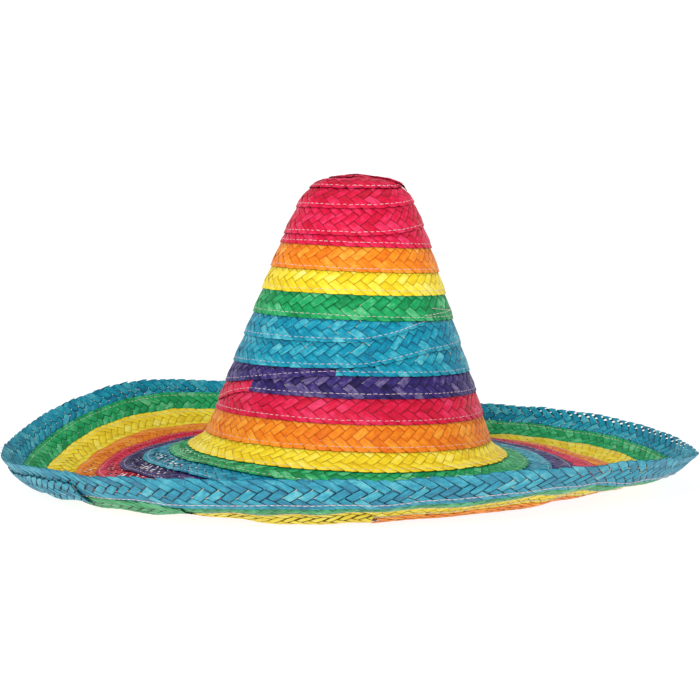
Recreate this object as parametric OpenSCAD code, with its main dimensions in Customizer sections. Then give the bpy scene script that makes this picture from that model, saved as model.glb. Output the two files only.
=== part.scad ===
// A tall-crowned, wide-brimmed hat sewn from flat plaited straw braid.
// One braid at a time is laid round in a single spiral, from the tip of the crown to the rim.
// Each course laps over the inner edge of the next one and is sewn through with one thread.
// Seventeen lengths of dyed braid follow each other along that spiral.
// Millimetres. Z is up, Z = 0 is the surface that the brim rests on, -Y is the front.

/* [Braid] */
// Thickness of the flat braid
braid_t = 1.5; // [1.2:0.1:1.8]
// How far each course laps over the next one out
lap = 6; // [4.5:0.5:7]
// Room left between two lapped courses
slip = 0.15; // [0.1:0.05:0.3]

/* [Sewing] */
// Distance of the stitch line from the outer edge of each course
seam_in = 3.5; // [2.5:0.5:4]
// Thickness of the sewing thread
thread_w = 0.8; // [0.6:0.1:1]

/* [Shape] */
// Lean of the crown towards +X in degrees
lean = 2.2; // [0:0.2:4]
// Strength of the upward curl of the rim
curl_up = 1; // [0.9:0.05:1.1]

/* [Hidden] */

// Every place on the hat has a turn angle and a slant. The turn angle runs clockwise seen from above,
// from +X through the front. The slant is the distance from the tip, down the crown and out to the rim.
STEPS = 36;             // facets in one turn
DS = 3;                 // spacing of the profile's points along the slant
S_BASE = 238;           // slant where the crown ends and the brim starts
S_SEAM = 229;           // slant of the crown's foot, where the lean turns
BRIM = 143;             // width of the brim along the slant
S_RIM = S_BASE + BRIM;
WAVE_FROM = 321;        // slant where the ridge starts
WAVE_LONG = 35;         // length of the ridge along the slant
TIP_Z = 219.0;          // height of the tip
MID = 1.7;              // half of the lapped thickness, taken inwards from the slant surface
SHIFT = [-1.3, -3.5, 0]; // puts the box's centre on the origin

// Angle of the crown's wall below the horizontal, by slant
CROWN = [[0, 0], [20, 11], [35, 42], [50, 65.5], [70, 68.5], [100, 70.5], [130, 71.5], [160, 69],
  [190, 71], [220, 72], [229, 45], [238, 28]];
// Brim angles at eight turn angles, every 45 degrees: right, front right, front, front left,
// left, back left, back, back right
DROOP = [16, 37, 44, 10, 15, 16, 15, 7];      // downward, next to the crown
LEVEL = [-9, 9, 7, -10, -10, 9, -3, -9];      // halfway out
CURL = [41, 44, 56, 50, 50, 65, 54, 51];      // upward, at the rim
WAVE = [8, 14, 22, 5, 0, 0, 0, 0];            // up then down, in a low ridge inside the rim's curl

// The spiral: the slant of the braid's outer edge after so many turns
SPIRAL = [[0, 14], [1, 32], [1.25, 36], [1.5, 37], [2, 46], [2.25, 53], [2.5, 54], [3, 64], [3.25, 73],
  [3.5, 74], [4, 81], [4.5, 81], [5, 99], [5.5, 99], [6, 115], [6.5, 116], [7, 133], [8.1, 134.5],
  [8.25, 149], [8.5, 151], [9, 152], [9.12, 155], [9.25, 167], [9.5, 171], [10, 172], [10.25, 172.5],
  [10.5, 187], [11, 187.5], [11.38, 189], [11.5, 202], [12, 205], [12.5, 207], [13, 224], [13.5, 225],
  [14, 240], [14.25, 243], [14.5, 241], [15, 257], [15.5, 255], [16, 274], [16.5, 274], [17, 291],
  [17.5, 291], [18, 308], [18.5, 308], [19, 326], [19.12, 335], [19.2, 334], [19.32, 325], [19.5, 326],
  [20, 348], [20.25, 348], [20.33, 343], [20.42, 343], [20.5, 347], [21, 364], [21.3, 364],
  [21.41, 359], [21.5, 363], [22, 381], [23, 381.3]];
// Turns at which one length of braid ends and the next begins
CUTS = [0, 4.75, 5.75, 6.75, 8.11, 10.27, 11.39, 12.8, 13.72, 14.78, 15.72, 16.8, 17.72, 18.78, 19.72,
  20.74, 21.7, 22.76];
FOOT_TURN = 13.5;       // turn at which the crown's thread ends and the brim's thread begins
COLOURS = ["crimson", "darkorange", "gold", "seagreen", "darkcyan", "darkslateblue", "crimson",
  "darkorange", "gold", "seagreen", "darkcyan", "darkslateblue", "crimson", "darkorange", "gold",
  "seagreen", "darkcyan"];

function ease(u) = let (c = min(max(u, 0), 1)) c * c * (3 - 2 * c);

// Smooth closed curve through eight compass values
function compass(v, a) = let (f = a / 45, i = floor(f), u = f - i,
    p = v[(i + 7) % 8], q = v[i % 8], r = v[(i + 1) % 8], s = v[(i + 2) % 8])
  0.5 * (2 * q + (r - p) * u + (2 * p - 5 * q + 4 * r - s) * u * u + (3 * q - p - 3 * r + s) * u * u * u);

// Angle below the horizontal at a slant, with the brim's four angles at this turn angle
function fall(s, b) = s <= S_BASE ? lookup(s, CROWN) :
  let (t = (s - S_BASE) / BRIM, w = ease((s - S_BASE) / 14), m = ease(t / 0.55), c = ease((t - 0.55) / 0.45),
       v = min(max((s - WAVE_FROM) / WAVE_LONG, 0), 1),
       up = -b[0] * (1 - m) + b[1] * m * (1 - c) + b[2] * curl_up * c + b[3] * sin(360 * v))
  28 * (1 - w) - up * w;

// Profile at one turn angle: [slant, radius, height, angle]
function profile(b) = [for (s = 0, r = 0, z = TIP_Z; s <= S_RIM + 6;
    r = r + DS * cos(fall(s + DS / 2, b)), z = z - DS * sin(fall(s + DS / 2, b)), s = s + DS)
  [s, r, z, fall(s, b)]];
PROFILES = [for (k = [0 : STEPS - 1]) let (a = k * 360 / STEPS)
  profile([compass(DROOP, a), compass(LEVEL, a), compass(CURL, a), compass(WAVE, a)])];
FOOT_Z = PROFILES[0][round(S_SEAM / DS)][2];

// The crown and a little of the brim lean together about the middle of the crown's foot
function leaned(p, s) = let (a = lean * (1 - ease((s - 225) / 110)), z = p[2] - FOOT_Z)
  [p[0] * cos(a) + z * sin(a), p[1], FOOT_Z - p[0] * sin(a) + z * cos(a)];

// Point at facet k, slant s and height n above the inner face
function at(k, s, n) = let (p = PROFILES[k % STEPS], i = floor(s / DS), u = s / DS - i,
    q = p[i] * (1 - u) + p[i + 1] * u, h = n - MID, rho = max(q[1] + h * sin(q[3]), 0.2), a = k * 360 / STEPS)
  leaned([rho * cos(a), -rho * sin(a), q[2] + h * cos(q[3])], s) + SHIFT;

// The spiral's slant after so many turns: a smooth curve that never turns back between its knots
function grade(i) = (SPIRAL[i + 1][1] - SPIRAL[i][1]) / (SPIRAL[i + 1][0] - SPIRAL[i][0]);
function slope(i) = i <= 0 || i >= len(SPIRAL) - 1 ? 0 :
  let (a = grade(i - 1), b = grade(i)) a * b <= 0 ? 0 : 2 * a * b / (a + b);
function knot(t, i = 0) = i >= len(SPIRAL) - 2 || SPIRAL[i + 1][0] > t ? i : knot(t, i + 1);
function edge(t) = t <= 0 ? max(14 + 18 * t, 0) :
  let (i = knot(t), w = SPIRAL[i + 1][0] - SPIRAL[i][0], u = (t - SPIRAL[i][0]) / w)
  (2 * u * u * u - 3 * u * u + 1) * SPIRAL[i][1] + (u * u * u - 2 * u * u + u) * w * slope(i)
  + (3 * u * u - 2 * u * u * u) * SPIRAL[i + 1][1] + (u * u * u - u * u) * w * slope(i + 1);
EDGES = [for (k = [-STEPS : 23 * STEPS]) edge(k / STEPS)];
function outer(k) = EDGES[max(min(k, 23 * STEPS), -STEPS) + STEPS];

// Width of a course that shows at facet k, and how far it laps over the next one.
// Where a course narrows to a wedge, the next one meets its edge instead of going under it.
function shown(k) = outer(k) - outer(k - STEPS);
function lapped(k) = min(lap, max(shown(k) - 7, -slip));
function lift(k) = (braid_t + slip) * ease(shown(k) / 7);

// One ring of a length of braid at facet k, as eight points. The inner part lies flat under the
// course before it, and the outer part is lifted over the course after it.
function section(k) = let (e = shown(k), s0 = outer(k - STEPS), s3 = outer(k), up = lift(k),
    i = max(s0 - lapped(k - STEPS), 1.5), a = max(s0 + min(0.6, 0.4 * e), i + 0.4),
    b = max(s3 - max(lapped(k), 0.3 * min(e, 3)), a + 0.2))
  [at(k, i, 0), at(k, a, 0), at(k, b, up), at(k, s3, up),
   at(k, s3, up + braid_t), at(k, b, up + braid_t), at(k, a, braid_t), at(k, i, braid_t)];

// One ring of the sewing thread, lying on the course's lifted part
function strand(k) = let (s = outer(k) - min(seam_in, max(lapped(k), 1) * 0.6), n = lift(k) + braid_t + 0.05)
  [at(k, s - thread_w / 2, n), at(k, s + thread_w / 2, n), at(k, s, n + thread_w * 0.8)];

// A closed band through a list of rings with the same number of points
module band(rings) {
  n = len(rings[0]);
  m = len(rings);
  polyhedron(points = [for (r = rings) for (p = r) p],
    faces = concat([[for (j = [0 : n - 1]) j]],
      [for (i = [0 : m - 2]) for (j = [0 : n - 1]) let (a = i * n + j, b = i * n + (j + 1) % n)
        each [[a, a + n, b + n], [a, b + n, b]]],
      [[for (j = [n - 1 : -1 : 0]) (m - 1) * n + j]]));
}

module braid(i) color(COLOURS[i])
  band([for (k = [round(CUTS[i] * STEPS) : round(CUTS[i + 1] * STEPS)]) section(k)]);
module thread(from, to) color("linen")
  band([for (k = [round(from * STEPS) : round(to * STEPS)]) strand(k)]);

module crimson_tip_braid() braid(0);
module orange_crown_braid() braid(1);
module yellow_crown_braid() braid(2);
module green_crown_braid() braid(3);
module turquoise_crown_braid() braid(4);
module purple_crown_braid() braid(5);
module crimson_base_braid() braid(6);
module orange_base_braid() braid(7);
module yellow_inner_brim_braid() braid(8);
module green_inner_brim_braid() braid(9);
module turquoise_inner_brim_braid() braid(10);
module purple_brim_braid() braid(11);
module crimson_brim_braid() braid(12);
module orange_brim_braid() braid(13);
module yellow_outer_brim_braid() braid(14);
module green_outer_brim_braid() braid(15);
module turquoise_rim_braid() braid(16);
// The braid's first end, folded flat to close the middle of the tip from inside
module tip_patch() color("crimson") translate([SHIFT[0] + (TIP_Z - FOOT_Z) * sin(lean), SHIFT[1],
    FOOT_Z + (TIP_Z - FOOT_Z) * cos(lean) - MID - 1 - slip - braid_t])
  rotate([0, lean, 0]) cylinder(h = braid_t, r = 12, $fn = 48);
module crown_seam_thread() thread(0.6, FOOT_TURN);
module brim_seam_thread() thread(FOOT_TURN, 21.76);

crimson_tip_braid();
orange_crown_braid();
yellow_crown_braid();
green_crown_braid();
turquoise_crown_braid();
purple_crown_braid();
crimson_base_braid();
orange_base_braid();
yellow_inner_brim_braid();
green_inner_brim_braid();
turquoise_inner_brim_braid();
purple_brim_braid();
crimson_brim_braid();
orange_brim_braid();
yellow_outer_brim_braid();
green_outer_brim_braid();
turquoise_rim_braid();
tip_patch();
crown_seam_thread();
brim_seam_thread();
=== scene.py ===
"""A sombrero sewn in one spiral from lengths of dyed plaited straw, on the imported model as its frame."""
import bpy
import math
import numpy as np
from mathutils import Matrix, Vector


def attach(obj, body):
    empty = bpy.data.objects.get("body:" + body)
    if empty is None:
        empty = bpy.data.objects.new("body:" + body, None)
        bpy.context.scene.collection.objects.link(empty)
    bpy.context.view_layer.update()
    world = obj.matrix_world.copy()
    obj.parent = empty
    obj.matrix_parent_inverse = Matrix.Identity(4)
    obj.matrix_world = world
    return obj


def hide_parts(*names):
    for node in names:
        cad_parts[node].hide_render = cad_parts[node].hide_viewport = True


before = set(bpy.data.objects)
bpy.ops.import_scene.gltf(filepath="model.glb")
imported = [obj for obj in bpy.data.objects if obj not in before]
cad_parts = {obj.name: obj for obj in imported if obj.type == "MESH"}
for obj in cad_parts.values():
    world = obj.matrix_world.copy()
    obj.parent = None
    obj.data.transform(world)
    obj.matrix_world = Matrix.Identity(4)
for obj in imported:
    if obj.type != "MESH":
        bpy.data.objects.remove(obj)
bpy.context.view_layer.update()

# The hat's shape, in millimetres and degrees, as in the CAD model. A place has a turn, which runs clockwise
# seen from above, from +X through the front, and a slant, its distance from the tip down the crown and out.
S_BASE = 238.0        # slant where the crown ends and the brim starts
S_SEAM = 228.0        # slant of the crown's foot
BRIM = 143.0          # width of the brim along the slant
TIP_Z = 219.0         # height of the tip
MID = 1.7             # half of the lapped thickness
LEAN = 2.2            # lean of the crown towards +X
LEAN_FADE = 225, 110  # slant from which the lean fades out, and how far on it is gone
BRAID_T = 1.5         # thickness of the braid
LAP = 6.0             # how far a course laps over the next one out
SLIP = 0.15           # room between two lapped courses
SHIFT = (-1.3, -3.5)  # puts the box's centre on the origin
# Angle of the crown's wall below the horizontal, by slant
CROWN = [(0, 0), (20, 11), (35, 42), (50, 65.5), (70, 68.5), (100, 70.5), (130, 71.5), (160, 69),
         (190, 71), (220, 72), (229, 45), (238, 28)]
# Brim angles at eight turn angles, from the right through the front: down by the crown, up halfway out,
# and up at the rim
DROOP = [16, 37, 44, 10, 15, 16, 15, 7]
LEVEL = [-9, 9, 7, -10, -10, 9, -3, -9]
CURL = [41, 44, 56, 50, 50, 65, 54, 51]
# A low ridge just inside the rim's curl: its strength at the same places, its first slant and its length
WAVE, WAVE_FROM, WAVE_LONG = [8, 14, 22, 5, 0, 0, 0, 0], 321.0, 35.0
# The spiral: slant of the braid's outer edge after so many turns
SPIRAL = [(0, 14), (1, 32), (1.25, 36), (1.5, 37), (2, 46), (2.25, 53), (2.5, 54), (3, 64), (3.25, 73),
          (3.5, 74), (4, 81), (4.5, 81), (5, 99), (5.5, 99), (6, 115), (6.5, 116), (7, 133), (8.1, 134.5),
          (8.25, 149), (8.5, 151), (9, 152), (9.12, 155), (9.25, 167), (9.5, 171), (10, 172),
          (10.25, 172.5), (10.5, 187), (11, 187.5), (11.38, 189), (11.5, 202), (12, 205), (12.5, 207),
          (13, 224), (13.5, 225), (14, 240), (14.25, 243), (14.5, 241), (15, 257), (15.5, 255),
          (16, 274), (16.5, 274), (17, 291), (17.5, 291), (18, 308), (18.5, 308), (19, 326),
          (19.12, 335), (19.2, 334), (19.32, 325), (19.5, 326), (20, 348), (20.25, 348), (20.33, 343),
          (20.42, 343), (20.5, 347), (21, 364), (21.3, 364), (21.41, 359), (21.5, 363), (22, 381),
          (23, 381.3)]
# Turns at which one length of braid ends and the next begins
CUTS = [0, 4.75, 5.75, 6.75, 8.11, 10.27, 11.39, 12.8, 13.72, 14.78, 15.72, 16.8, 17.72, 18.78, 19.72,
        20.74, 21.7, 22.76]
NAMES = ["crimson_tip_braid", "orange_crown_braid", "yellow_crown_braid", "green_crown_braid",
         "turquoise_crown_braid", "purple_crown_braid", "crimson_base_braid", "orange_base_braid",
         "yellow_inner_brim_braid", "green_inner_brim_braid", "turquoise_inner_brim_braid",
         "purple_brim_braid", "crimson_brim_braid", "orange_brim_braid", "yellow_outer_brim_braid",
         "green_outer_brim_braid", "turquoise_rim_braid"]
RIM = 16              # number of the rim's length of braid
RIM_TURN = 21.76      # turn from which no further course is lapped, so no seam is sewn
FOOT_TURN = 13.5      # turn at which the crown's thread ends and the brim's thread begins


def ease(u):
    u = np.clip(u, 0, 1)
    return u * u * (3 - 2 * u)


def compass(v, a):
    """Smooth closed curve through eight compass values, at turn angles a in degrees."""
    v = np.asarray(v, float)
    f = np.asarray(a) / 45.0
    i = np.floor(f).astype(int)
    u = f - i
    p, q, r, s = (v[(i + k) % 8] for k in (-1, 0, 1, 2))
    square, cube = 2 * p - 5 * q + 4 * r - s, 3 * q - p - 3 * r + s
    return 0.5 * (2 * q + (r - p) * u + square * u ** 2 + cube * u ** 3)


# The surface: radius, height and fall at every degree of turn and every half millimetre of slant
DS = 0.5
_a = np.arange(361.0)
_s = np.arange(0, S_BASE + BRIM + 8, DS)
_cs, _cf = zip(*CROWN)


def fall_at(s, a):
    """Angle of the surface below the horizontal at slants s and turn angles a."""
    out = (s - S_BASE) / BRIM
    half, rim, join_in = ease(out / 0.55), ease((out - 0.55) / 0.45), ease((s - S_BASE) / 14)
    droop, level, curl, wave = (compass(v, a)[:, None] for v in (DROOP, LEVEL, CURL, WAVE))
    up = -droop * (1 - half) + level * half * (1 - rim) + curl * rim
    up = up + wave * np.sin(2 * np.pi * np.clip((s - WAVE_FROM) / WAVE_LONG, 0, 1))
    return np.where(s <= S_BASE, np.interp(s, _cs, _cf), CROWN[-1][1] * (1 - join_in) - up * join_in)


_f = np.radians(fall_at(_s[None] + 0 * _a[:, None], _a))
_fm = np.radians(fall_at(_s[None] + DS / 2 + 0 * _a[:, None], _a))
_r = np.concatenate([0 * _a[:, None], np.cumsum(DS * np.cos(_fm), 1)[:, :-1]], 1)
_z = TIP_Z - np.concatenate([0 * _a[:, None], np.cumsum(DS * np.sin(_fm), 1)[:, :-1]], 1)
FOOT_Z = float(_z[0, int(S_SEAM / DS)])


def at(turn, s, n):
    """Points in metres at turns, slants and heights above the braid's inner face."""
    a = (np.asarray(turn) % 1.0) * 360.0
    i = np.minimum(a.astype(int), 359)
    u = a - i
    g = np.clip(s, 0, _s[-2]) / DS
    j = g.astype(int)
    v = g - j

    def between(T):
        inner = T[i, j] * (1 - u) + T[i + 1, j] * u
        outer = T[i, j + 1] * (1 - u) + T[i + 1, j + 1] * u
        return inner * (1 - v) + outer * v

    r, z, f = between(_r), between(_z), between(_f)
    h = n - MID
    rho, th = np.maximum(r + h * np.sin(f), 0.2), np.radians(a)
    x, y, z = rho * np.cos(th), -rho * np.sin(th), z + h * np.cos(f) - FOOT_Z
    lean = np.radians(LEAN) * (1 - ease((s - LEAN_FADE[0]) / LEAN_FADE[1]))
    px = x * np.cos(lean) + z * np.sin(lean) + SHIFT[0]
    pz = FOOT_Z - x * np.sin(lean) + z * np.cos(lean)
    return np.stack([px, y + SHIFT[1], pz], -1) * 0.001


# A smooth curve through the spiral's knots that never turns back between them
_kt, _ks = (np.array(v, float) for v in zip(*SPIRAL))
_g = np.diff(_ks) / np.diff(_kt)
_sum = _g[:-1] + _g[1:]
_m = np.zeros(len(_ks))
_m[1:-1] = np.where(_g[:-1] * _g[1:] > 0, 2 * _g[:-1] * _g[1:] / np.where(_sum == 0, 1, _sum), 0)


def edge(t):
    """Slant of the braid's outer edge after t turns."""
    t = np.asarray(t, float)
    i = np.clip(np.searchsorted(_kt, t, side="right") - 1, 0, len(_kt) - 2)
    w = _kt[i + 1] - _kt[i]
    u = np.clip((t - _kt[i]) / w, 0, 1)
    s = ((2 * u ** 3 - 3 * u ** 2 + 1) * _ks[i] + (u ** 3 - 2 * u ** 2 + u) * w * _m[i]
         + (3 * u ** 2 - 2 * u ** 3) * _ks[i + 1] + (u ** 3 - u ** 2) * w * _m[i + 1])
    return np.where(t <= 0, np.maximum(14 + 18 * t, 0), s)


# ---- MATERIALS
def node(nt, kind, **settings):
    n = nt.nodes.new(kind)
    for k, v in settings.items():
        setattr(n, k, v)
    return n


def link(nt, a, b):
    nt.links.new(a, b)


def math_node(nt, op, a, b=None):
    n = nt.nodes.new("ShaderNodeMath")
    n.operation = op
    for i, v in enumerate((a, b)):
        if v is None:
            continue
        if isinstance(v, (int, float)):
            n.inputs[i].default_value = v
        else:
            link(nt, v, n.inputs[i])
    return n.outputs[0]


def map_range(nt, v, a, b, c, d, smooth=False):
    n = nt.nodes.new("ShaderNodeMapRange")
    n.interpolation_type = "SMOOTHSTEP" if smooth else "LINEAR"
    link(nt, v, n.inputs["Value"])
    for k, x in zip(("From Min", "From Max", "To Min", "To Max"), (a, b, c, d)):
        n.inputs[k].default_value = x
    return n.outputs[0]


def mix(nt, fac, a, b):
    n = nt.nodes.new("ShaderNodeMix")
    n.data_type = "RGBA"
    for i, v in ((0, fac), (6, a), (7, b)):
        if isinstance(v, (int, float)):
            n.inputs[i].default_value = v
        elif isinstance(v, tuple):
            n.inputs[i].default_value = (*v, 1)
        else:
            link(nt, v, n.inputs[i])
    return n.outputs[2]


def noise(nt, scale, vector=None, detail=None, rough=None):
    """A noise texture's value."""
    n = node(nt, "ShaderNodeTexNoise")
    n.inputs["Scale"].default_value = scale
    if detail is not None:
        n.inputs["Detail"].default_value = detail
    if rough is not None:
        n.inputs["Roughness"].default_value = rough
    if vector is not None:
        link(nt, vector, n.inputs["Vector"])
    return n.outputs[0]


def times(nt, a, b):
    return math_node(nt, "MULTIPLY", a, b)


def plus(nt, a, b):
    return math_node(nt, "ADD", a, b)


def combine(nt, x, y, z):
    n = node(nt, "ShaderNodeCombineXYZ")
    for i, v in enumerate((x, y, z)):
        link(nt, v, n.inputs[i])
    return n.outputs[0]


def relief(nt, shader, height, strength, distance):
    n = node(nt, "ShaderNodeBump")
    n.inputs["Strength"].default_value = strength
    n.inputs["Distance"].default_value = distance
    link(nt, height, n.inputs["Height"])
    link(nt, n.outputs[0], shader.inputs["Normal"])


def srgb(r, g, b):
    return tuple(((c / 255 + 0.055) / 1.055) ** 2.4 if c > 10 else c / 255 / 12.92 for c in (r, g, b))


def straw(name, deep, main, pale, streak, grey, dive_shade_level):
    """Dyed palm leaf: its colour changes from strand to strand and from float to float, with fine lengthwise
    fibres, painted shade where a strand dives under and along its sides, black painted shade inside the laps,
    undyed slivers, a duller underside, a satin surface and pale patches that are partly painted satin
    highlight.
    streak is the share of floats with a sliver, grey the underside's dullness, and the last argument how dark
    the painted shade at the dives is on the upper face."""
    m = bpy.data.materials.new(name)
    m.use_nodes = True
    nt = m.node_tree
    b = nt.nodes["Principled BSDF"]
    weave_at = node(nt, "ShaderNodeAttribute", attribute_name="weave")
    tone_at = node(nt, "ShaderNodeAttribute", attribute_name="tone")
    sw = node(nt, "ShaderNodeSeparateXYZ")
    st = node(nt, "ShaderNodeSeparateXYZ")
    link(nt, weave_at.outputs["Vector"], sw.inputs[0])
    link(nt, tone_at.outputs["Vector"], st.inputs[0])
    along, across, shade = sw.outputs
    per_float, dive, lap_shade = st.outputs
    per_strand = math_node(nt, "FRACT", shade)
    below = math_node(nt, "GREATER_THAN", shade, 1.0)
    # fibres and larger blotches run along the strand
    fibre_place = combine(nt, times(nt, along, 0.20), times(nt, across, 8.0), times(nt, shade, 91.0))
    fibre = noise(nt, 1.6, fibre_place, 6.0, 0.66)
    own = plus(nt, times(nt, per_float, 57.0), times(nt, per_strand, 31.0))
    blotch_place = combine(nt, times(nt, along, 0.16), times(nt, across, 1.2), own)
    blotch = noise(nt, 1.3, blotch_place, 3.0)
    f = plus(nt, times(nt, per_strand, 0.20), times(nt, per_float, 0.30))
    for value, low, high, share in ((fibre, 0.34, 0.66, 0.26), (blotch, 0.35, 0.68, 0.28)):
        f = plus(nt, f, times(nt, map_range(nt, value, low, high, 0, 1), share))
    # painted shade: the colour falls towards the deep end near a strand's dives
    f = math_node(nt, "SUBTRACT", f, times(nt, dive, 0.10))
    # the ramp's pale end, reached on random patches, is partly the straw's paler tone and partly a painted
    # satin highlight
    ramp = node(nt, "ShaderNodeValToRGB")
    e = ramp.color_ramp.elements
    e[0].position, e[0].color = 0.16, (*deep, 1)
    e[1].position, e[1].color = 0.92, (*pale, 1)
    e.new(0.54).color = (*main, 1)
    link(nt, f, ramp.inputs[0])
    col = ramp.outputs[0]
    # thin undyed slivers along one side of some floats, near their ends
    one_side = map_range(nt, across, 0.90, 0.95, 0, 1, True)
    some = map_range(nt, per_float, 0.99 - streak, 1.0 - streak, 0, 1, True)
    near = map_range(nt, dive, 0.02, 0.12, 0, 1, True)
    sliver = times(nt, times(nt, one_side, some), near)
    col = mix(nt, times(nt, sliver, 0.85), col, srgb(222, 208, 166))
    col = mix(nt, times(nt, below, grey), col, srgb(128, 132, 122))
    # painted shade: a strand's edges and its diving ends are darkened where its neighbours and the crossing
    # strand shade it, and what lies inside a lap is painted black as shade
    side = math_node(nt, "ABSOLUTE", math_node(nt, "SUBTRACT", across, 0.5))
    line = math_node(nt, "MAXIMUM", map_range(nt, side, 0.46, 0.5, 0, 0.30, True),
                     map_range(nt, dive, 0.45, 0.95, 0, 0.92, True))
    line = times(nt, line, math_node(nt, "SUBTRACT", 1.0, sliver))
    # the painted shade's colour, darker still on the underside
    dark = mix(nt, below, tuple(dive_shade_level * c for c in deep), tuple(0.15 * c for c in deep))
    col = mix(nt, line, col, dark)
    col = mix(nt, times(nt, lap_shade, 0.93), col, (0.0, 0.0, 0.0))
    link(nt, col, b.inputs["Base Color"])
    link(nt, map_range(nt, fibre, 0.3, 0.7, 0.40, 0.58), b.inputs["Roughness"])
    b.inputs["Specular IOR Level"].default_value = 0.2
    relief(nt, b, fibre, 0.5, 0.0004)
    return m


# Each dye: its deep, main and pale colour (the pale partly a painted satin highlight), and straw's last three
# values
DYE_VALUES = {
    "crimson": ((178, 4, 36), (224, 10, 66), (240, 70, 118), 0.02, 0.2, 0.45),
    "orange": ((224, 98, 6), (248, 142, 22), (254, 186, 72), 0.02, 0.08, 0.72),
    "yellow": ((226, 184, 10), (250, 224, 40), (255, 244, 130), 0.02, 0.12, 0.62),
    "green": ((0, 114, 58), (20, 168, 96), (132, 216, 160), 0.05, 0.2, 0.38),
    "turquoise": ((0, 96, 134), (2, 152, 180), (110, 204, 214), 0.20, 0.14, 0.28),
    "purple": ((20, 10, 62), (54, 38, 114), (136, 124, 158), 0.04, 0.2, 0.25),
}
DYES = {dye: straw(dye + "_dyed_straw", srgb(*deep), srgb(*main), srgb(*pale), *values)
        for dye, (deep, main, pale, *values) in DYE_VALUES.items()}


def sewing_cotton():
    """Off-white cotton that has taken up a little dye."""
    m = bpy.data.materials.new("sewing_thread_cotton")
    m.use_nodes = True
    nt = m.node_tree
    b = nt.nodes["Principled BSDF"]
    place = node(nt, "ShaderNodeTexCoord").outputs["Object"]
    fine = noise(nt, 900.0, place, 3.0)
    slow = noise(nt, 30.0, place)
    c = mix(nt, map_range(nt, fine, 0.3, 0.7, 0, 1), srgb(198, 176, 180), srgb(240, 226, 222))
    c = mix(nt, map_range(nt, slow, 0.35, 0.65, 0, 0.6), c, srgb(212, 176, 184))
    link(nt, c, b.inputs["Base Color"])
    b.inputs["Roughness"].default_value = 0.8
    relief(nt, b, fine, 0.4, 0.0002)
    return m


THREAD = sewing_cotton()

# ---- THE PLAIT
PITCH = 7.07                                    # spacing of parallel strands, before they are stretched
WIDE = 3.5 * PITCH                              # width of a braid of seven strands
LAYER, THICK = 0.22, 0.36                       # half the spacing of the two layers, thickness of a strand
LIFT = 1.15                                     # how far a lapped edge lies above the course under it
FULL_STEP = 7                                   # step from course to course at which it is lifted in full
SEAM_IN = 2.8                                   # distance of the stitches from the outer edge
ACROSS = np.array([0, 0.04, 0.5, 0.96, 1.0])    # places of the points across a strand
LENS = np.array([0.0, 0.95, 1.0, 0.95, 0.0])    # how thick the strand is there
# Sections along one strand's run from edge to edge, in cells: the first and last make the folds, and a
# strand changes layer at cells 3 and 5
CELLS = np.array([0, 0.5, 1.0, 1.9, 2.74, 2.9, 3.1, 3.26, 4.0, 4.74, 4.9, 5.1, 5.26, 6.0, 6.5, 7.0, 7.5,
                  8.0])
EDGE_CELL = 8
OVER_MIDDLE = ([0, 1, 2.85, 3.15, 4, 4.85, 5.15, 7, 8], [0, -1, -1, 1, 1.4, 1, -1, -1, 0])
OVER_SIDES = ([0, 1, 2, 2.85, 3.15, 4.85, 5.15, 6, 7, 8], [0, 1, 1.4, 1, -1, -1, 1, 1.4, 1, 0])
# How far apart the strands of each length are, along it, as a share of their spacing across it
STRETCH = [1.2, 1.18, 1.19, 1.25, 1.25, 1.15, 1.38, 1.16, 1.18, 1.2, 1.25, 1.2, 1.3, 1.2, 1.2, 1.25, 1.36]
TIP_START = 0.30                                # turn where the spiral comes out from under the tip fold


def bell(v, middle, width, power=2):
    return np.exp(-((v - middle) / width) ** power)


def bumps(turn, s):
    """Slow unevenness of the whole hat, in millimetres along its surface normal."""
    a, s = 2 * np.pi * np.asarray(turn), np.asarray(s)
    k = 0.3 + 1.0 * ease((s - 230) / 150)
    return k * (0.5 * np.sin(5 * a + s / 23) + 0.4 * np.sin(9 * a - s / 17 + 1.3)
                + 0.35 * np.sin(14 * a + s / 11 + 0.7) + 0.25 * np.sin(23 * a + 2.1)
                + 0.3 * np.sin(31 * a + s / 40) * ease((s - 340) / 30)
                + 0.7 * np.sin(33 * a + 0.8) * (0.6 + 0.4 * np.sin(7 * a + 2)) * bell(s, 336, 20))


def lay(turn, y, z, sag=0.0):
    """Where a point of the braid lies: y across the braid from its inner edge, z above its middle. Gives the
    point, whether it is cut away, and how far it is past the edge of the course inside it."""
    s3, s0 = edge(turn), edge(turn - 1)
    e = s3 - s0
    over = np.clip(e - FULL_STEP, -SLIP, LAP)
    a = s0 + 0.6
    b = np.maximum(s3 - np.maximum(over, 0.3 * np.minimum(e, 3)), a + 0.3)
    low = np.maximum(s0 - 8.5, 0.7)
    s = np.maximum(s3 - WIDE + y, low)
    pull = 0.32 * bell(WIDE - y, SEAM_IN, 0.9)
    n = BRAID_T / 2 + LIFT * ease(e / FULL_STEP) * np.clip((s - a) / (b - a), 0, 1) + z - sag - pull
    return at(turn, s, n + bumps(turn, s)), (s <= low), (s - s0)


def gaps(turn):
    """How open the plait is, inside it and along its outer edge: loose on the left of the brim, along the rim
    at the back right, and a little on the crown's left and the rim's front."""
    f = turn % 1.0
    left = bell(f, 0.455, 0.06) * (turn < 21.2) * np.where(turn < 15.7, 0.45 * (turn > 14.9), 1.0)
    far = bell(f, 0.94, 0.085, 4) * (turn > 21.7)
    crown = 0.55 * bell(f, 0.52, 0.05) * (turn < 13)
    near = (0.14 + 0.35 * bell(f, 0.42, 0.05)) * (turn > 21.7) * (f < 0.5)
    return np.clip(left + crown + near, 0, 1), far


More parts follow.
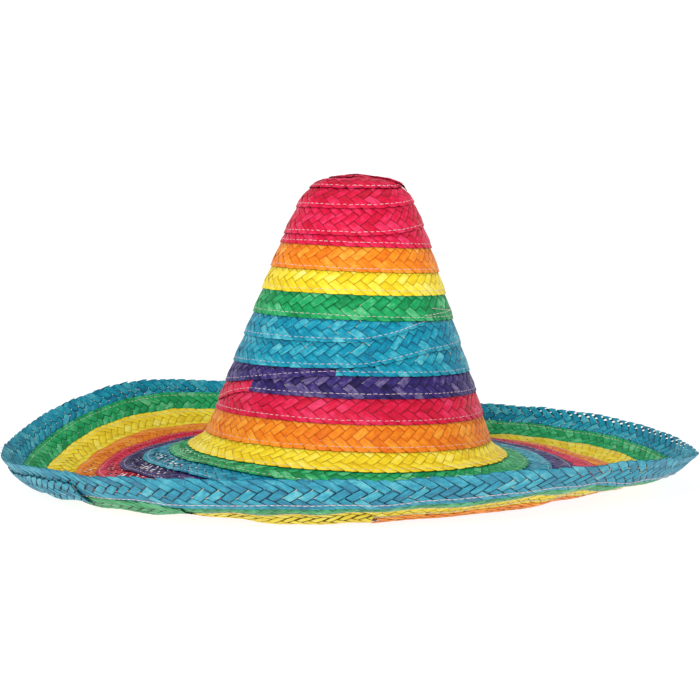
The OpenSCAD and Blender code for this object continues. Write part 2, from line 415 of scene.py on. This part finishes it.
def mesh_object(name, verts, faces, mat, weave_data=None, tone_data=None):
    """A mesh object. The bevels along the strands' sides keep a hard crease, so that the tiles look flat."""
    me = bpy.data.meshes.new(name)
    me.vertices.add(len(verts))
    me.vertices.foreach_set("co", np.ascontiguousarray(verts, dtype=np.float32).ravel())
    me.loops.add(faces.size)
    me.loops.foreach_set("vertex_index", np.ascontiguousarray(faces, dtype=np.int32).ravel())
    me.polygons.add(len(faces))
    me.polygons.foreach_set("loop_start", np.arange(0, faces.size, faces.shape[1], dtype=np.int32))
    crease = np.zeros(len(faces), bool)
    if weave_data is not None:
        crease = np.abs(weave_data[:, 1][faces].mean(1) - 0.5) > 0.47
    me.polygons.foreach_set("use_smooth", ~crease)
    for key, data in (("weave", weave_data), ("tone", tone_data)):
        if data is not None:
            layer = me.attributes.new(key, "FLOAT_VECTOR", "POINT")
            layer.data.foreach_set("vector", np.ascontiguousarray(data, dtype=np.float32).ravel())
    me.update(calc_edges=True)
    me.validate()
    me.materials.append(mat)
    o = bpy.data.objects.new(name, me)
    bpy.context.scene.collection.objects.link(o)
    return o


def per_row(v):
    """One value for each strand, ready to combine with its sections and the points across it."""
    return v[:, None, None]


def as_points(full, *columns):
    """Vectors for every point of a grid, from columns that may be narrower than the grid."""
    return np.stack([np.broadcast_to(c, full) for c in columns], -1).reshape(-1, 3)


def weave(x0, x1, place, seed, jag=1.0, openness=None, ragged=0.0, stretch=1.18, spread=(0.95, 0.99)):
    """The seven strands of a braid from x0 to x1 along it. place(x, y, z) gives each point, whether it is
    cut away, and how far its upper and lower face lie inside a lap, the share painted black there as shade.
    jag is how toothed the edge is, spread the range of the strands' widths. Gives points, faces and the
    material's two sets of values, which also mark the painted shade at the dives and in the laps."""
    rng = np.random.default_rng(seed)
    first = int(np.floor((x0 / stretch - WIDE) / PITCH)) - 1
    last = int(np.ceil((x1 / stretch + WIDE) / PITCH)) + 1
    A = np.arange(first, last)
    n = len(A)
    r_strand, r_wide, r_off = rng.random(n), rng.uniform(*spread, n), rng.uniform(-0.008, 0.008, n)
    V, F, WV, TN = [], [], [], []
    base = 0
    v, beta = ACROSS[None, None, :], CELLS[None, :, None]
    lam_a, lam_b = np.where(beta == 0, 1.0, 0.5), np.where(beta == EDGE_CELL, 1.0, 0.5)
    for fam in (0, 1):
        narrow = rng.uniform(0.0, 0.06, (n, 2))
        zj = rng.normal(0, 0.02, (n, len(CELLS)))
        rfl = rng.random((n, 5))
        tilt = rng.normal(0, 0.11, (n, 5))
        cut = rng.normal(0, 1, (n, 2))
        loose = np.where(rng.random((n, 2)) < 0.55, 1.0, 0.3)
        at_edge = np.zeros(n)
        if openness is not None:
            middle = stretch * (PITCH * (A + 0.5) + (1 - 2 * fam) * WIDE / 2)
            inside, at_edge = openness(np.clip(middle, x0, x1))
            narrow += inside[:, None] * loose
        long = 0.6 + 0.6 * np.clip(narrow, 0, 1)[:, :, None, None]
        pinch = (per_row(narrow[:, 0]) * bell(beta, 3, long[:, 0])
                 + per_row(narrow[:, 1]) * bell(beta, 5, long[:, 1])
                 + per_row(at_edge * (0.35 + 0.35 * loose[:, 0])) * bell(beta, 6.9, 0.55))
        pinch = np.minimum(pinch, 0.88)
        dive = bell(beta, 3, 0.16) + bell(beta, 5, 0.16)
        vw = 0.5 + (v - 0.5) * per_row(r_wide) * (1 - pinch) + per_row(r_off)
        u = vw if fam == 0 else 1 - vw
        y = PITCH * (beta - u) / 2
        y = np.where(beta < 1, (1 - lam_a) * PITCH * (1 - u) / 2, y)
        y = np.where(beta > 7, WIDE - (1 - lam_b) * PITCH * u / 2, y)
        # the folds stick out a little and lie askew, so the edge is toothed
        tooth = jag * (0.20 - 0.3 * (2 * v - 1) ** 2 + 0.32 * (2 * v - 1) + 0.22 * per_row(cut[:, 0]))
        y = y + np.where(beta == EDGE_CELL, tooth, 0) + np.where(beta == EDGE_CELL - 0.5, tooth * 0.6, 0)
        x = stretch * (PITCH * (per_row(A) + vw) + (y if fam == 0 else -y))
        g = np.interp(beta, *(OVER_MIDDLE if fam == 0 else OVER_SIDES))
        fl = np.clip(((CELLS + 1) // 2).astype(int), 0, 4)
        rf = rfl[:, fl][:, :, None] + 0 * v
        askew = tilt[:, fl][:, :, None] * (v - 0.5) * (1 - np.clip(dive, 0, 1))
        z0 = LAYER * g + zj[:, :, None] + askew
        lens = THICK / 2 * LENS[None, None, :]
        cx = np.clip(x, x0, x1 + ragged * per_row(cut[:, 1]))
        for side in (1, -1):
            Q, gone, hid = place(cx, y, z0 + side * lens)
            out = (x < x0) | (x > x1 + 3 * ragged) | gone
            full = Q.shape[:3]
            k = base + np.arange(Q[..., 0].size).reshape(full)
            q = np.stack([k[:, :-1, :-1], k[:, :-1, 1:], k[:, 1:, 1:], k[:, 1:, :-1]], -1)
            q = q[~(out[:, :-1, :-1] & out[:, :-1, 1:] & out[:, 1:, 1:] & out[:, 1:, :-1])]
            if (side < 0) != (fam == 1):
                q = q[:, ::-1]
            V.append(Q.reshape(-1, 3))
            F.append(q)
            # a value of 1 or more marks the underside
            shade = 0.02 + 0.96 * r_strand[(np.arange(n) + 7 * fam) % n] + (1 if side < 0 else 0)
            WV.append(as_points(full, beta * PITCH * 0.7, v, per_row(shade)))
            # painted shade: the dives, and the upper face where the strand lies under the crossing one, are
            # darkened; hid gives the share painted black inside a lap
            under = np.maximum(dive, np.clip(-3 * side * g, 0, 1))
            TN.append(as_points(full, rf, under, hid[0 if side > 0 else 1]))
            base += Q[..., 0].size
    V, F, WV, TN = np.concatenate(V), np.concatenate(F), np.concatenate(WV), np.concatenate(TN)
    used = np.zeros(len(V), bool)
    used[F] = True
    remap = np.cumsum(used) - 1
    return V[used], remap[F], WV[used], TN[used]


def lengths(points):
    """Length in millimetres along a line of points in metres, at each point."""
    steps = np.linalg.norm(np.diff(points, axis=0), axis=1) * 1000
    return np.concatenate([[0], np.cumsum(steps)])


def run(t0, t1, s_of):
    """Turns and lengths along a line on the hat from turn t0 to t1."""
    tt = np.linspace(t0, t1, 4000)
    return tt, lengths(at(tt, s_of(tt), 0))


def spiral_length(i):
    """One length of braid in the spiral, with its first end under the length before."""
    t0, t1 = CUTS[i], CUTS[i + 1]
    tt, X = run(max(t0 - 0.35, TIP_START), t1, lambda t: np.maximum(edge(t) - 10, 3.0))
    start = max(t0, TIP_START)
    X = X - np.interp(start, tt, X)
    tuck = 9.0 if i else 0.0

    def place(x, y, z):
        turn = np.interp(x, X, tt)
        sag = 0.8 * (1 - ease((x + 3.0) / 5)) if i else 0.0
        Q, gone, deep = lay(turn, y, z, sag)
        # the shares painted black as shade: the upper face where the course inside laps over it, and the
        # lower face where it laps over the next course out
        hid_up = 1 - ease((deep + 1.2) / 1.4)
        hid_down = ease((y - (WIDE - LAP - 1.5)) / 1.2) * (turn < RIM_TURN)
        return Q, gone, (hid_up, hid_down)

    jag = 0.45 if t1 < 13 else 0.8 if i < RIM else 1.5
    spread = (0.93, 0.985) if i == RIM else (0.96, 0.995)
    return weave(-tuck, X[-1], place, 100 + i, jag, lambda x: gaps(np.interp(x, X, tt)), 0.35,
                 STRETCH[i], spread)


def tail_length(t0, t1, s_out, wide, drop, fade, turned, seed):
    """A left-over end of braid that runs on along the underside of the brim, from turn t0 to t1, with its
    outer edge at slant s_out. drop is how far its inner edge hangs, fade how much less at t0. The cut end
    that shows is at t1, or at t0 if turned."""
    tt, X = run(t0, t1, lambda t: s_out - wide / 2 + 0 * t)

    def place(x, y, z):
        turn = np.interp(X[-1] - x if turned else x, X, tt)
        s = s_out - wide + y * wide / WIDE
        hang = drop * (1 - fade * (1 - ease(x / 35)))
        n = -0.15 + 0.55 * ease(y / WIDE) - hang * (1 - y / WIDE) - 0.6 * ease((x - X[-1] + 14) / 14) + z
        Q = at(turn, s, n + bumps(turn, s))
        Q[..., 2] = np.maximum(Q[..., 2], 0.0003)
        # the upper face, under the brim, is painted partly dark as shade
        return Q, np.zeros(Q.shape[:-1], bool), (0.4 + 0 * y, 0 * y)

    def open_all(x):
        return 0.3 + 0 * x, 0 * x

    v, f, wv, tn = weave(0.0, X[-1], place, seed, 2.4, open_all, 2.4, 1.25, (0.84, 0.97))
    return v, f[:, ::-1] if turned else f, wv, tn


def join(*parts):
    out, base = [[], [], [], []], 0
    for v, f, wv, tn in parts:
        for k, d in enumerate((v, f + base, wv, tn)):
            out[k].append(d)
        base += len(v)
    return [np.concatenate(d) for d in out]


# The bits of plait in the tip fold: direction in degrees, offset across it, two ends along it, height
TIP_BITS = ((10, -5, -15, 15, 0.9), (75, 2, -13, 14, 1.5), (-14, 6, -10, 31, 2.1))


def tip_fold():
    """The braid's first end: short bits of plait folded across the middle of the tip, one end left out."""
    parts = []
    for k, (way, off, x0, x1, high) in enumerate(TIP_BITS):
        c, d = math.cos(math.radians(way)), math.sin(math.radians(way))
        outer = k == 2

        def place(x, y, z, c=c, d=d, off=off, high=high, k=k, outer=outer):
            y2 = (y - WIDE / 2) * (0.8 if outer else 1.0) + off
            px, py = x * c - y2 * d, x * d + y2 * c
            r = np.hypot(px, py)
            crumple = 0.35 * np.sin(px / 4.1 + k) + 0.3 * np.sin(py / 3.3 + 2 * k)
            over = 1.3 * ease((r - 24) / 9) if outer else -0.8 * ease((r - 13) / 6)
            n = high + (1.5 if outer else 1.0) * z + crumple * ease(r / 6) + over
            Q = at((-np.arctan2(py, px) / (2 * np.pi)) % 1.0, r, n)
            return Q, np.zeros(Q.shape[:-1], bool), (0 * y, 0 * y)

        parts.append(weave(x0, x1, place, 900 + k, 1.0, None, 1.2))
    return join(*parts)


def blades(turns, s_of, n, reach, wide, seed):
    """Loose fibres: thin tapered slivers of leaf, up to reach long, that stick out of an edge at height n."""
    rng = np.random.default_rng(seed)
    turns = np.asarray(turns)
    m = len(turns)
    t = np.linspace(0, 1, 5)[None, :]
    L = rng.uniform(0.4, 1.0, m)[:, None] * reach
    W = rng.uniform(0.4, 1.0, m)[:, None] * wide
    slant, lift = rng.normal(0, 0.6, m)[:, None], rng.normal(0.0, 0.35, m)[:, None]
    s = s_of(turns)[:, None] - 1.5 + L * t
    r_here = np.maximum(np.hypot(*(at(turns, s_of(turns), 0)[:, :2].T)) * 1000, 5)[:, None]
    drift = slant * L * t / (2 * np.pi * r_here)
    hh = n + lift * L * t ** 1.6
    half = W / 2 * (1 - t ** 1.5) / (2 * np.pi * r_here) + 1e-6
    # four corners of a thin diamond: left, upper, right and lower
    corners = ((-1, 0), (0, 0.10), (1, 0), (0, -0.10))
    Q = np.stack([at(turns[:, None] + drift + sideways * half, s, hh + up) for sideways, up in corners], 2)
    k = np.arange(m * 5 * 4).reshape(m, 5, 4)
    k2 = np.roll(k, -1, 2)
    F = np.stack([k[:, :-1], k2[:, :-1], k2[:, 1:], k[:, 1:]], -1).reshape(-1, 4)
    full = Q.shape[:3]
    shade, tone = per_row(rng.uniform(0.1, 0.9, m)), per_row(rng.uniform(0, 0.75, m))
    WV = as_points(full, (L * t)[..., None], np.array([0.2, 0.5, 0.8, 0.5]), shade)
    TN = as_points(full, tone, 0.0, 0.0)
    return Q.reshape(-1, 3), F, WV, TN


# Left-over ends under the brim: braid number, and the values that tail_length takes
TAILS = [(16, 0.381, 0.53, 371, 21, 1.6, 0.0, True), (15, 0.325, 0.39, 356, 20, 4.4, 0.85, False),
         (14, 0.238, 0.328, 341, 20, 1.0, 0.0, False), (13, 0.09, 0.238, 328, 13, 0.4, 0.0, False)]
FIRST_FIBRE = 0.6     # turn from which the edge has loose fibres


def build_braids():
    rng = np.random.default_rng(5)
    for i, name in enumerate(NAMES):
        parts = [spiral_length(i)]
        parts += [tail_length(*values, 300 + i) for j, *values in TAILS if j == i]
        # loose fibres along the edge, more and longer on the rim
        lapped = i < RIM
        start = max(CUTS[i], FIRST_FIBRE)
        count = int((CUTS[i + 1] - start) * (18 if lapped else 90))
        turns = rng.uniform(start, CUTS[i + 1], count)
        reach, wide = (3.0, 0.5) if lapped else (4.0, 0.8)
        parts.append(blades(turns, edge, BRAID_T / 2 + LIFT * lapped, reach, wide, 500 + i))
        colour = name.split("_")[0]
        v, f, wv, tn = join(*parts)
        o = mesh_object(name.replace("braid", "plait"), v, f, DYES[colour], wv, tn)
        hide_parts(name)
        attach(o, "root")
    v, f, wv, tn = tip_fold()
    o = mesh_object("tip_fold", v, f, DYES["crimson"], wv, tn)
    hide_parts("tip_patch")
    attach(o, "root")


build_braids()


# ---- SEWING
def stitches(t0, t1, seed, first=SEAM_IN, last=SEAM_IN, long=3.7, skip=0.45, rad=0.26):
    """Running stitches along the courses from turn t0 to t1: short lengths of thread that dip into the straw.
    first and last are their distances from the outer edge at the two ends."""
    rng = np.random.default_rng(seed)
    tt = np.linspace(t0, t1, 20000)
    X = lengths(at(tt, edge(tt) - first, 0))
    step = long + skip
    n = int(X[-1] / step)
    start = np.arange(n) * step + rng.uniform(-0.25, 0.25, n)
    length = long + rng.uniform(-0.35, 0.35, n)
    slow = 0.35 * np.sin(np.arange(n) * 0.11) + 0.25 * np.sin(np.arange(n) * 0.043 + 1)
    wander = slow + rng.normal(0, 0.10, n)
    tilt = rng.normal(0, 0.10, n)
    rings, corners = 5, 5
    u = np.linspace(0, 1, rings)[None, :]
    x = start[:, None] + u * length[:, None]
    V, F = [], []
    base = 0
    for inner_face in (0, 1):
        turn = np.interp(x + inner_face * step / 2, X, tt)
        inset = first + (last - first) * (turn - t0) / (t1 - t0)
        y = WIDE - inset + wander[:, None] + tilt[:, None] * (u - 0.5)
        rise = rad * (np.sin(np.pi * np.clip(u, 0, 1)) ** 0.5 - 0.6)
        if inner_face:
            # there the thread lies under the next course's braid
            z = -(LAYER + THICK / 2) - rise - LIFT * ease((edge(turn) - edge(turn - 1)) / FULL_STEP)
        else:
            z = LAYER + THICK / 2 + rise
        Q = lay(turn, y, z)[0]
        d = np.gradient(Q, axis=1)
        d /= np.linalg.norm(d, axis=-1, keepdims=True) + 1e-12
        up = lay(turn, y, z + 1.0)[0] - Q
        up /= np.linalg.norm(up, axis=-1, keepdims=True)
        side = np.cross(d, up)
        ang = (np.arange(corners) * 2 * np.pi / corners)[None, None, :, None]
        r = rad * 0.001 * np.sqrt(np.clip(1 - (2 * u - 1) ** 8, 0.15, 1))
        around = np.cos(ang) * side[:, :, None] + np.sin(ang) * up[:, :, None]
        ring = Q[:, :, None] + r[..., None, None] * around
        k = base + np.arange(n * rings * corners).reshape(n, rings, corners)
        k2 = np.roll(k, -1, 2)
        F.append(np.stack([k[:, :-1], k2[:, :-1], k2[:, 1:], k[:, 1:]], -1).reshape(-1, 4))
        V.append(ring.reshape(-1, 3))
        base += n * rings * corners
    return np.concatenate(V), np.concatenate(F)


# Slack stitches that missed the lap on the green's right: first and last turn, and their two insets
SLACK = ((6.99, 7.11, 4.6, 9.5), (7.0, 7.13, 7.5, 4.2))
for name, t0, t1, sd, extra in (("crown_seam_stitches", 0.6, FOOT_TURN, 7, SLACK),
                                ("brim_seam_stitches", FOOT_TURN, RIM_TURN, 8, ())):
    v, f = stitches(t0, t1, sd)
    for a, b, first, last in extra:
        v2, f2 = stitches(a, b, 17 + int(first), first, last)
        v, f = np.concatenate([v, v2]), np.concatenate([f, f2 + len(v)])
    o = mesh_object(name, v, f, THREAD)
    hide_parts(name.replace("stitches", "thread"))
    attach(o, "root")


# ---- STAGE
FLOOR_R, SWEEP, WALL_TOP = 4.0, 1.4, 2.2    # radius of the flat floor, radius of its curve, wall's height


def floor_material():
    m = bpy.data.materials.new("stage_white")
    m.use_nodes = True
    nt = m.node_tree
    b = nt.nodes["Principled BSDF"]
    link(nt, map_range(nt, noise(nt, 6.0), 0.3, 0.7, 0.90, 0.94), b.inputs["Roughness"])
    b.inputs["Base Color"].default_value = (0.25, 0.25, 0.25, 1)
    b.inputs["Emission Color"].default_value = (1, 1, 1, 1)
    b.inputs["Emission Strength"].default_value = 0.90
    b.inputs["Specular IOR Level"].default_value = 0.0
    return m


def cyclorama():
    """A round pale floor that curves up into a low wall all round."""
    sweep = [(FLOOR_R + SWEEP * math.sin(a), SWEEP - SWEEP * math.cos(a)) for a in np.linspace(0.1, 1.5, 10)]
    prof = [(0.05, 0.0), (FLOOR_R, 0.0)] + sweep + [(5.5, WALL_TOP)]
    around = 72
    v = [(0.0, 0.0, 0.0)]
    for r, z in prof:
        angles = np.linspace(0, 2 * math.pi, around, endpoint=False)
        v += [(r * math.cos(a), r * math.sin(a), z) for a in angles]
    f = [(0, 1 + k, 1 + (k + 1) % around) for k in range(around)]
    for j in range(len(prof) - 1):
        p, q = 1 + j * around, 1 + (j + 1) * around
        f += [(p + k, q + k, q + (k + 1) % around, p + (k + 1) % around) for k in range(around)]
    me = bpy.data.meshes.new("studio_floor")
    me.from_pydata(v, [], f)
    for p in me.polygons:
        p.use_smooth = True
    me.materials.append(floor_material())
    o = bpy.data.objects.new("studio_floor", me)
    bpy.context.scene.collection.objects.link(o)


cyclorama()
world = bpy.data.worlds.new("studio_world")
bpy.context.scene.world = world
world.use_nodes = True
background = world.node_tree.nodes["Background"]
background.inputs[0].default_value = (1, 1, 1, 1)
background.inputs[1].default_value = 0.40


def area(name, loc, aim, size, power):
    d = bpy.data.lights.new(name, "AREA")
    d.shape, d.size, d.energy = "DISK", size, power
    o = bpy.data.objects.new(name, d)
    o.location = loc
    o.rotation_euler = (Vector(aim) - Vector(loc)).to_track_quat("-Z", "Y").to_euler()
    bpy.context.scene.collection.objects.link(o)


area("key_softbox", (-0.7, -2.0, 1.05), (0, 0, 0.08), 0.9, 24)
area("fill_softbox", (1.6, -1.7, 0.9), (0, 0, 0.1), 1.2, 9)
area("top_softbox", (0.1, 0.3, 2.0), (0, 0, 0), 1.0, 5)

# ---- CAMERA: about 1.35 m in front, a little below the tip's height
cam = bpy.data.cameras.new("camera")
cam.lens, cam.sensor_width = 97.2, 36.0
co = bpy.data.objects.new("camera", cam)
co.location = (-0.003, -1.3523, 0.2002)
co.rotation_euler = (math.radians(90 - 4.48), 0, 0)
cam.shift_x = 0.0057
bpy.context.scene.collection.objects.link(co)
bpy.context.scene.camera = co
sc = bpy.context.scene
sc.view_settings.view_transform = "Standard"
sc.view_settings.look = "None"
